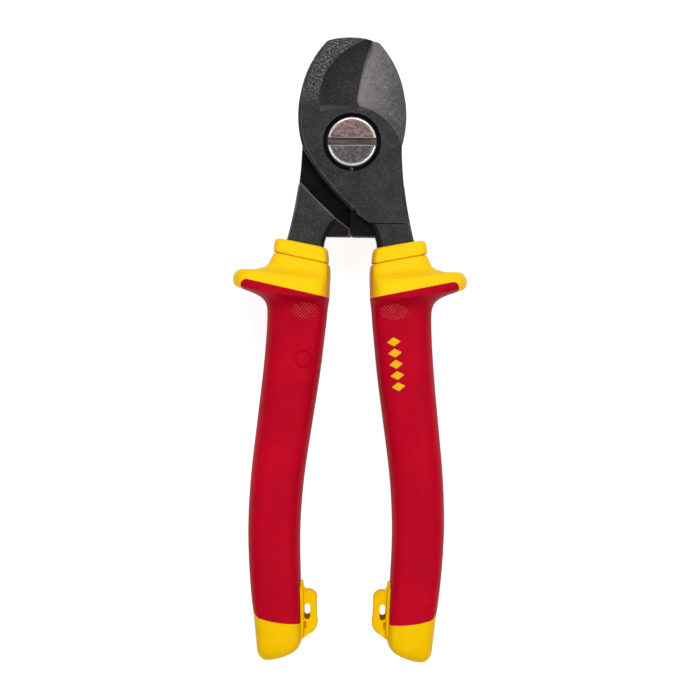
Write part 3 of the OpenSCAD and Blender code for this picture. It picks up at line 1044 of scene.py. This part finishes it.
@dataclass
class PivotJoint:
    """Slotted bolt, lock pin, nut and disc spring."""

    head_r: float
    head_top: float
    plate_top: float
    nut_low: float
    nut_high: float
    shank_r: float = 4.5
    thread_r: float = 4.0
    rim: float = 0.62
    slot_half: float = 1.0
    slot_depth: float = 1.2
    face_dip: float = 0.1
    pin_r: float = 0.5
    pin_y: float = -7.08
    nut_flats: float = 13.0

    def bolt(self) -> Workpiece:
        """The bolt, with its bevelled head and slot."""
        seat = self.plate_top - SEAT_DEPTH
        face = self.head_r - self.rim
        top, low, edge = self.head_top, self.nut_low - 0.3, self.slot_half
        profile = [
            (self.thread_r - 0.5, low), (self.thread_r, low + 0.5), (self.thread_r, -seat),
            (self.shank_r, -seat + 0.01), (self.shank_r, seat + 0.03), (self.head_r, seat + 0.05),
            (self.head_r, top - 0.5), (self.head_r - 0.1, top - 0.25), (self.head_r - 0.3, top - 0.05),
            (face + 0.12, top), (face, top - 0.25), (face - 0.12, top - 0.25),
            (face - 0.2, top - self.face_dip),
        ]  # fmt: skip
        piece = turned("pivot_bolt_turned", profile)
        corners = [(-9, -edge), (9, -edge), (9, edge), (-9, edge)]
        piece.combine(Workpiece.slab("slot", corners, top - self.slot_depth, top + 1), Cut.REMOVE)
        lip = top - self.face_dip - 0.02
        return piece.round_edges(
            lambda a, b: min(a.z, b.z) > lip and all(abs(abs(p.y) - edge) < 0.01 for p in (a, b)), 0.26, 1
        )

    def on_face(self, centre: Vector, normal: Vector) -> bool:
        """True for the flat of the bolt's head."""
        return normal.z > 0.99 and centre.z > self.head_top - self.face_dip - 0.02

    def in_slot(self, centre: Vector, normal: Vector) -> bool:
        """True for the floor and walls of the slot, and for the groove inside the head's rim, where the
        slot's dark finish is painted shade.
        """
        floor = self.head_top - self.slot_depth
        inside = abs(centre.y) < self.slot_half + 0.01 and floor - 0.02 < centre.z < self.head_top - 0.3
        at_groove = abs(centre.xy.length - (self.head_r - self.rim - 0.06)) < 0.1
        groove = at_groove and floor + 0.3 < centre.z < self.head_top - 0.12
        return (inside and max(normal.z, abs(normal.y)) > 0.9) or groove

    def on_slot_edge(self, centre: Vector, normal: Vector) -> bool:
        """True for the bevels along the slot, which take a pale finish as painted highlight."""
        near = 0 < abs(centre.y) - self.slot_half < 0.3 and centre.z > self.head_top - 0.5
        return near and 0.4 < abs(normal.y) < 0.9

    def pin(self) -> Workpiece:
        """The lock pin, with a domed end."""
        top, r = self.plate_top - 1.0, self.pin_r
        pin = turned("lock_pin_turned", [(r, 1.2), (r, top - 0.2), (0.8 * r, top - 0.06), (0.4 * r, top)], 32)
        return pin.moved(Matrix.Translation((0, self.pin_y, 0)))

    def nut(self) -> Workpiece:
        """A hexagon nut with chamfered corners and a bore."""
        low, high, flat = self.nut_low, self.nut_high, self.nut_flats / 2
        corner = flat / math.cos(math.pi / 6)
        bore = self.thread_r + 0.03
        nut = turned("pivot_nut_turned", [(corner, low), (corner, high)], 6)
        cone = turned("cone", [(flat, low), (corner + 1, low + 0.75), (corner + 1, high)])
        nut.combine(cone, Cut.KEEP)
        return nut.combine(
            turned("bore", [(self.thread_r + 0.55, low - 0.01), (bore, low + 0.5), (bore, high + 1)]),
            Cut.REMOVE,
        )

    def spring(self) -> Workpiece:
        """The disc spring."""
        top = SEAT_DEPTH - self.plate_top - 0.05
        outer, inner, thick, dish = 7.2, 4.65, 0.5, 0.25
        profile = [(inner, top - thick - dish), (outer, top - thick), (outer, top), (inner, top - dish)]
        hole = [(inner - 0.01, top - 2), (inner - 0.01, top + 1)]
        spring = turned("spring_washer_turned", profile)
        return spring.combine(turned("hole", hole), Cut.REMOVE)

    def build(self, pivot: Vector, finishes: Finishes) -> None:
        """Models and dresses the pivot's pieces."""
        face = TurnedPlate("turned_plate", tuple(pivot))
        # The groove inside the head's rim takes the slot's dark finish as painted shade, and the slot's
        # bevels a pale one as painted highlight.
        numbered = ((1, self.on_face), (2, self.in_slot), (3, self.on_slot_edge))
        bolt = self.bolt().paint(finishes.bright, face, finishes.slot, finishes.glint, faces=numbered)
        bolt.release(pivot, FRONT_BODY, "plated_steel", "pivot_bolt", angle=25)
        self.pin().paint(finishes.slot).release(pivot, FRONT_BODY, "plated_steel", "lock_pin")
        nut = self.nut().paint(finishes.nut)
        nut.release(pivot, FRONT_BODY, "nut_steel", "pivot_nut", angle=25)
        spring = self.spring().paint(finishes.spring)
        spring.release(pivot, FRONT_BODY, "spring_steel", "spring_washer", angle=25)


# ---------------------------------------------------------------- the handles


def flat_edge(a: Vector, b: Vector) -> bool:
    """True for an edge that lies level, on the face or the back of a slab."""
    return abs(a.z - b.z) < 0.01


@dataclass
class Handle:
    """Inner sleeve, hand guard, red cover, end cap and tether eye of one handle."""

    guard_half: float
    tail_y: float
    cover_wall: float = 1.7
    skin_corner: float = 0.86
    collar_corner: float = 0.78
    wing_r: float = 1.5
    wing_centre: Point = (27.15, -38.2)
    wing_slope: float = 11.9
    sleeve_end: float = -118.4
    mid_grip: float = -80.0
    eye_half: float = 2.7
    foot_half: float = 3.4
    half_web: float = 0.3
    recess_floor: float = 2.05
    knurl_centre: Point = (11.6, -44.75)
    knurl_size: Point = (3.8, 2.1)
    knurl_pitch: float = 0.95
    ring_place: Point = (-11.9, -57.3)

    def skin_sections(self) -> list[Section]:
        """Outside of the guard, cover and cap, from the guard's top to the tail."""
        return [
            Section(20.2, -29.5, 5.65, -32.4, 7.1, 0.5),
            Section(20.75, -30.3, 5.3, -33.1, 7.5, 0.5),
            Section(22.1, -32.8, 5.15, -34.9, 8.3, 0.5),
            Section(25.6, -33.9, 5.15, -36.3, 10.3, 0.45),
            Section(29.5, -33.95, 5.2, -37.5, 11.7, 0.4),
            Section(31.0, -35.8, 5.25, -39, 12.4, 0.4),
            Section(30.6, -38.2, 5.3, -40.8, 12.4, 0.4),
            Section(28.2, -39.2, 5.4, -42, 12.0, 0.35),
            Section(24.2, -40.8, 5.6, -43.1, 9.6, 0.3),
            Section(22.1, -43, 5.8, -44.8, 8.4, 0.25),
            Section(21.75, -47, 6.05, -47.8, 8, 0.28),
            Section(22.1, -54, 6.7, -54, 8.1, 0.22),
            Section(22.75, -62, 7.6, -62, 8.15, 0.2),
            Section(24.1, -75, 9.45, -75, 8.1, 0.2),
            Section(25.5, -89, 11.35, -89, 7.9, 0.2),
            Section(26, -103, 12.15, -103, 7.7, 0.22),
            Section(25.2, -117, 11.7, -117, 7.5, 0.3),
            Section(24.1, -126, 11.35, -127.5, 7.4, 0.34),
            Section(23.4, -132.5, 11.3, -131.8, 7.1, 0.34),
            Section(23.0, -135.4, 12.6, -134.5, 6.3, 0.3),
            Section(21.9, -136.9, 15.4, -136.2, 4.6, 0.1),
            Section(20.9, self.tail_y, 18.6, -137.2, 2.2),
        ]

    def collar_sections(self) -> list[Section]:
        """Collar of the inner sleeve, above the guard."""
        return [
            Section(18.9, -25.55, 7.0, -27.8, 6.4, 0.45),
            Section(19.7, -25.75, 6.3, -28.15, 7.05, 0.5),
            Section(20.1, -26.3, 5.9, -28.75, 7.35, 0.5),
            Section(20.25, -27.3, 5.75, -29.9, 7.45, 0.5),
            Section(20.4, -28.7, 5.6, -31.6, 7.5, 0.5),
            Section(20.35, -29.15, 5.65, -32.05, 7.45, 0.5),
            Section(20.0, -29.28, 5.95, -32.16, 7.2, 0.45),
        ]

    def core_sections(self) -> list[Section]:
        """Inside of the guard and cover: the sleeve, then the cap's spigot."""
        neck = [
            Section(19.6, -28.9, 6.25, -31.57, 6.75, 0.5),
            Section(19.1, -34, 6.8, -36, 6.3),
            Section(19.8, -42, 7.2, -43.6, 6.4),
        ]
        return neck + [s.inset(self.cover_wall) for s in self.skin_sections() if -131 < s.outer_y < -46]

    def cover_outline(self) -> list[Point]:
        """The part of the handle's face that the red cover holds."""
        slope = math.radians(self.wing_slope)
        turns = [math.radians(90 + self.wing_slope - 16 * k) for k in range(11)]
        cx, cy = self.wing_centre
        end = [(cx + self.wing_r * math.cos(a), cy + self.wing_r * math.sin(a)) for a in turns]
        start = (end[0][0] - 27 * math.cos(slope), end[0][1] - 27 * math.sin(slope))
        tail = chain(
            [(25.4, -121.2)],
            arc3((24.3, -123.6), (23.4, -125.3), (21.6, -126.15), 8),
            arc3((20.9, -126.35), (15.7, -127.15), (10.5, -127.2), 8),
        )
        return chain([start], end, [(28.4, -40.6), (36, -46), (36, -121.2)], tail, [(1.5, -127.2)])

    def skin(self) -> Workpiece:
        """The whole outside, subdivided smooth, with its top edge kept sharp."""

        def at_top(*ends: Vector) -> bool:
            return all(abs((p.y + 29.5) - (p.x - 20.2) * (2.9 / 14.55)) < 0.02 for p in ends)

        skin = Workpiece.loft("skin", smooth(self.skin_sections(), 3), self.skin_corner).crease(at_top)
        skin.subdivide()
        for side in (-1, 1):
            skin.bisect((0, 0, side * self.guard_half), (0, 0, side))
        return skin

    def build(self) -> dict[str, Workpiece]:
        """Models the right handle, and returns its workpieces by name."""
        skin = self.skin()
        core = Workpiece.loft("core", smooth(self.core_sections(), 2), self.skin_corner)
        zone = Workpiece.slab("zone", self.cover_outline(), -20, 20)
        cover = skin.copy("cover").combine(zone, Cut.KEEP, keep_tool=True)
        cover.combine(core, Cut.REMOVE, keep_tool=True)
        guard = skin.combine(zone, Cut.REMOVE)
        cap = guard.split_off(self.mid_grip, "cap")
        guard.combine(core, Cut.REMOVE, keep_tool=True)
        spigot = core.copy("spigot").bisect((0, self.sleeve_end - 0.3, 0), (0, 1, 0))
        cap.combine(spigot, Cut.JOIN)
        sleeve = core.bisect((0, self.sleeve_end, 0), (0, -1, 0))
        collar = Workpiece.loft("collar", self.collar_sections(), self.collar_corner)
        sleeve.combine(collar.subdivide(), Cut.JOIN)
        eye, knurl = self.tether_eye(), self.knurl(cover)
        names = ("inner_sleeve", "hand_guard", "grip_cover", "end_cap", "tether_eye", "knurl")
        return dict(zip(names, (sleeve, guard, cover, cap, eye, knurl), strict=True))

    def eye_outline(self) -> list[Point]:
        """Foot of the tether eye, around the lug and back up the grip."""
        return chain(
            [(11.6, -116.2), (11.15, -116.35), (11.0, -117.6), (10.75, -118.2)],
            arc3((10.3, -118.4), (8.3, -118.75), (7.5, -121.4), 10),
            arc3((7.25, -126), (7.6, -128.6), (9.2, -130), 10),
            [(10.9, -131.3), (12.0, -131.3), (11.95, -116.2)],
        )

    def foot_outline(self) -> list[Point]:
        """Thicker root of the tether eye, along the grip."""
        return [
            (12.4, -117.6), (11.2, -117.9), (10.95, -119), (10.75, -123), (10.7, -128), (10.75, -130.2),
            (11.2, -131.1), (12.4, -131.6),
        ]  # fmt: skip

    @staticmethod
    def slot_outline(x: float, top: float, bottom: float, width: float) -> list[Point]:
        """A slot with round ends, for the tether eye."""
        r = width / 2
        return chain(
            arc3((x + r, top - r), (x, top), (x - r, top - r), 10),
            arc3((x - r, bottom + r), (x, bottom), (x + r, bottom + r), 10),
        )

    def tether_eye(self) -> Workpiece:
        """The lug with its slot, which is half closed below, and the small recess under it."""
        eye = Workpiece.slab("eye", self.eye_outline(), -self.eye_half, self.eye_half)
        free = between(x=(-FAR, 10.9), y=(-131, FAR))
        eye.round_edges(lambda a, b: flat_edge(a, b) and free(a, b), 0.7, 3)
        foot = Workpiece.slab("foot", self.foot_outline(), -self.foot_half, self.foot_half)
        foot.round_edges(lambda a, b: flat_edge(a, b) and max(a.x, b.x) < 11.5, 0.5, 3)
        eye.combine(foot, Cut.JOIN)
        through = self.slot_outline(9.95, -122.1, -125.0, 1.5)
        closed = self.slot_outline(9.95, -123.2, -126.3, 1.5)
        recess = self.slot_outline(10.5, -126.8, -128.7, 0.7)
        cuts = [(through, -5, 5)]
        for outline, floor in ((closed, self.half_web), (recess, self.recess_floor)):
            cuts += [(outline, floor, 5), (outline, -5, -floor)]
        for outline, low, high in cuts:
            eye.combine(Workpiece.slab("slot", outline, low, high), Cut.REMOVE)
        return eye

    def knurl(self, cover: Workpiece) -> Workpiece:
        """Small pyramids in a lens-shaped patch under the guard, on both faces of the grip cover."""
        tooth = Workpiece.basic(
            "tooth", "cone", vertices=4, radius1=0.4, radius2=0.06, depth=0.5, location=(0, 0, 0.08)
        )
        steps = [Matrix.Translation((*place, 0)) for place in self.knurl_places()]
        front, back = ([tooth.copy("tooth_copy").moved(step) for step in steps] for _ in range(2))
        tooth.discard()
        patch = front[0].absorb(front[1:]).drape(cover, 1)
        mirrored = back[0].absorb(back[1:]).drape(cover, -1)
        with mirrored.editing("FACE"):
            face_outward()
        return patch.absorb([mirrored])

    def knurl_places(self) -> list[Point]:
        """Where the pyramids of the knurling stand."""
        (cx, cy), (rx, ry), pitch = self.knurl_centre, self.knurl_size, self.knurl_pitch
        steps = range(-9, 10)
        places = [(cx + (i + j) * pitch / 2, cy + (i - j) * pitch / 2) for i in steps for j in steps]
        return [(x, y) for x, y in places if ((x - cx) / rx) ** 2 + ((y - cy) / ry) ** 2 < 1]

    def ring_mark(self, cover: Workpiece) -> Workpiece:
        """A plain raised ring on the front of a grip."""
        ring = Workpiece.basic(
            "ring_mark", "torus", major_radius=2.05, minor_radius=0.19, major_segments=64, minor_segments=10
        )
        with ring.editing("VERT"):
            bpy.ops.transform.resize(value=(1, 1, 1.2))
            bpy.ops.transform.translate(value=(*self.ring_place, 0))
        return ring.drape(cover, 1)

    def is_flank(self, centre: Vector, normal: Vector) -> bool:
        """True on the rounding of the tether eye's foot and in the recess beside it, which are painted darker
        orange as shade.
        """
        inward = -math.copysign(1, centre.x) * normal.x
        recess = abs(normal.z) > 0.9 and 1.9 < abs(centre.z) < 2.2
        return recess or (inward > 0.3 and 2.7 < abs(centre.z) < self.foot_half)

    def is_pocket(self, centre: Vector, normal: Vector) -> bool:
        """True on the floor of the half-closed slot, which is painted brown as shade."""
        return abs(normal.z) > 0.9 and abs(centre.z) < 0.5 and centre.y < -122

    def finish(self, pieces: dict[str, Workpiece], side: Side, pivot: Vector, finishes: Finishes) -> None:
        """Names one side's pieces, dresses them and puts them on their body."""
        body = FRONT_BODY if side is Side.RIGHT else REAR_BODY
        # The knurl takes a lighter red, which is painted highlight on its pyramids.
        special = {"grip_cover": finishes.red, "knurl": finishes.knurl}
        special |= {"end_cap": finishes.cap, "tether_eye": finishes.cap}
        for name, piece in pieces.items():
            piece.obj.name = f"{side.value}_{name}_moulding"
            # On the tether eye, the foot's rounding, the recess and the slot's floor are painted as shade.
            numbered = ((1, self.is_flank), (2, self.is_pocket)) if name == "tether_eye" else ()
            own = special.get(name, finishes.yellow)
            piece.paint(own, finishes.flank, finishes.pocket, faces=numbered)
            slot = "red_cover" if name in ("grip_cover", "knurl") else "yellow_insulation"
            piece.release(pivot, body, slot, *([] if name == "knurl" else [f"{side.value}_{name}"]))


@dataclass
class GripMarks:
    """Five raised lozenges along the front of the right grip."""

    count: int = 5
    pitch: float = 2.96
    start: Point = (11.75, -52.6)
    lean: float = 7.0
    width: float = 3.7
    length: float = 2.4
    height: float = 0.14

    def outlines(self) -> list[list[Point]]:
        """The lozenges' corners."""
        lean = math.radians(self.lean)
        down = Vector((math.sin(lean), -math.cos(lean)))
        across = Vector((math.cos(lean), math.sin(lean)))
        long_way, short_way = across * self.width / 2, down * self.length / 2
        middles = [Vector(self.start) + down * self.pitch * k for k in range(self.count)]
        corners = (long_way, -short_way, -long_way, short_way)
        return [[tuple(middle + corner) for corner in corners] for middle in middles]

    def build(self, cover: Workpiece) -> Workpiece:
        """Cuts the lozenges out and lets them down onto the grip."""
        made = []
        for corners in self.outlines():
            lozenge = Workpiece.slab("right_grip_lozenges", corners, -self.height, self.height)
            lozenge.round_edges(lambda a, b: abs(a.z - b.z) > 0.1, 0.25, 3)
            lozenge.round_edges(between(z=(self.height - 0.01, FAR)), 0.08, 2)
            with lozenge.editing("FACE"):
                bpy.ops.mesh.quads_convert_to_tris()
                bpy.ops.mesh.subdivide(number_cuts=2)
            made.append(lozenge)
        return made[0].absorb(made[1:]).drape(cover, 1)


# ---------------------------------------------------------------- studio


def add_to_scene(name: str, data: bpy.types.ID) -> bpy.types.Object:
    """Puts a camera or a lamp into the scene."""
    added = bpy.data.objects.new(name, data)
    bpy.context.scene.collection.objects.link(added)
    return added


@dataclass
class Studio:
    """Camera square over the tool, pale floor and soft lights."""

    lens: float = 150.0
    view_width: float = 0.1857
    look_at: tuple[float, float] = (0.0003, 0.0)
    roll: float = 0.87
    mid_height: float = 0.0118
    floor_size: float = 6.0
    sky: float = 0.33

    def build(self, finishes: Finishes) -> None:
        """Sets up everything that isn't the tool."""
        self.camera()
        floor = Workpiece.basic("floor", "plane", size=self.floor_size).obj
        floor.data.materials.append(finishes.floor.material())
        self.lights()

    def camera(self) -> None:
        """A long lens looking straight down, with the jaw tips at the top of the frame."""
        data = bpy.data.cameras.new("camera")
        data.lens = self.lens
        data.sensor_width = 36
        data.clip_start = 0.01
        camera = add_to_scene("camera", data)
        distance = self.view_width * self.lens / data.sensor_width
        camera.location = (*self.look_at, self.mid_height + distance)
        camera.rotation_euler = (0, 0, math.radians(self.roll))
        bpy.context.scene.camera = camera

    def lights(self) -> None:
        """A pale sky and four softboxes."""
        world = bpy.data.worlds.new("soft_sky")
        world.use_nodes = True
        background = world.node_tree.nodes["Background"].inputs
        background["Color"].default_value = (1, 1, 1, 1)
        background["Strength"].default_value = self.sky
        bpy.context.scene.world = world
        self.softbox("key", (0.0, 0.66, 0.86), 0.45, 6.8)
        self.softbox("left", (-0.45, -0.15, 0.95), 0.4, 2.5)
        self.softbox("right", (0.5, -0.1, 0.9), 0.4, 3.5)
        self.softbox("low", (0.1, -0.62, 0.8), 0.4, 1.7)
        bpy.context.scene.view_settings.view_transform = "Standard"

    def softbox(self, name: str, place: tuple[float, float, float], size: float, power: float) -> None:
        """A square area light that looks at the tool."""
        data = bpy.data.lights.new(name, "AREA")
        data.size = size
        data.energy = power
        lamp = add_to_scene(name, data)
        lamp.location = place
        lamp.rotation_euler = (-Vector(place)).to_track_quat("-Z", "Y").to_euler()


# ---------------------------------------------------------------- putting it together


def main() -> None:
    """Builds the tool around its frame."""
    logging.basicConfig(level=logging.INFO, format="%(name)s: %(message)s")
    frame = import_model()
    pivot = Vector(frame["joints"][0]["pos_m"])
    jaw_y = pivot.y / MILLIMETRE + 9
    # The hollow grinding is painted paler at its lower end, as highlight where its sloping end faces the
    # light.
    hollow = ForgedSteel(
        "hollow_ground_black",
        (0.007, 0.007, 0.0075),
        (0.016, 0.016, 0.0165),
        0.12,
        pit_depth=0.03,
        speck_share=0.66,
        specular=0.2,
        painted_highlight_below=jaw_y + 0.9,
    )
    finishes = Finishes(ForgedSteel("forged_steel", rub_from=jaw_y), hollow)

    _, lever_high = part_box("front_lever")
    bolt_low, bolt_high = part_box("pivot_bolt")
    nut_low, nut_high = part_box("pivot_nut")
    tops = (bolt_high, lever_high, nut_low, nut_high)
    head_top, plate_top, nut_bottom, nut_top = ((corner.z - pivot.z) / MILLIMETRE for corner in tops)
    lever = Lever(plate_top)
    front = lever.dress(lever.build("front_lever_forging", FRONT_SEAT_R), finishes)
    rear = lever.dress(lever.build("rear_lever_forging", REAR_SEAT_R), finishes).moved(HALF_TURN)
    front.release(pivot, FRONT_BODY, "lever_steel", "front_lever")
    rear.release(pivot, REAR_BODY, "lever_steel", "rear_lever")
    head_r = (bolt_high.x - bolt_low.x) / 2 / MILLIMETRE
    PivotJoint(head_r, head_top, plate_top, nut_bottom, nut_top).build(pivot, finishes)

    guard_low, guard_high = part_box("right_hand_guard")
    cap_low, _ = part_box("right_end_cap")
    guard_half = (guard_high.z - guard_low.z) / 2 / MILLIMETRE
    handle = Handle(guard_half, tail_y=(cap_low.y - pivot.y) / MILLIMETRE)
    right = handle.build()
    left = {name: piece.copy(name).moved(HALF_TURN) for name, piece in right.items()}
    ring = handle.ring_mark(left["grip_cover"]).paint(finishes.red)
    ring.release(pivot, REAR_BODY, "red_cover")
    marks = GripMarks().build(right["grip_cover"]).paint(finishes.marks)
    marks.release(pivot, FRONT_BODY, "mark_yellow", "right_grip_marks")
    handle.finish(right, Side.RIGHT, pivot, finishes)
    handle.finish(left, Side.LEFT, pivot, finishes)

    Studio().build(finishes)


if __name__ == "__main__":
    main()
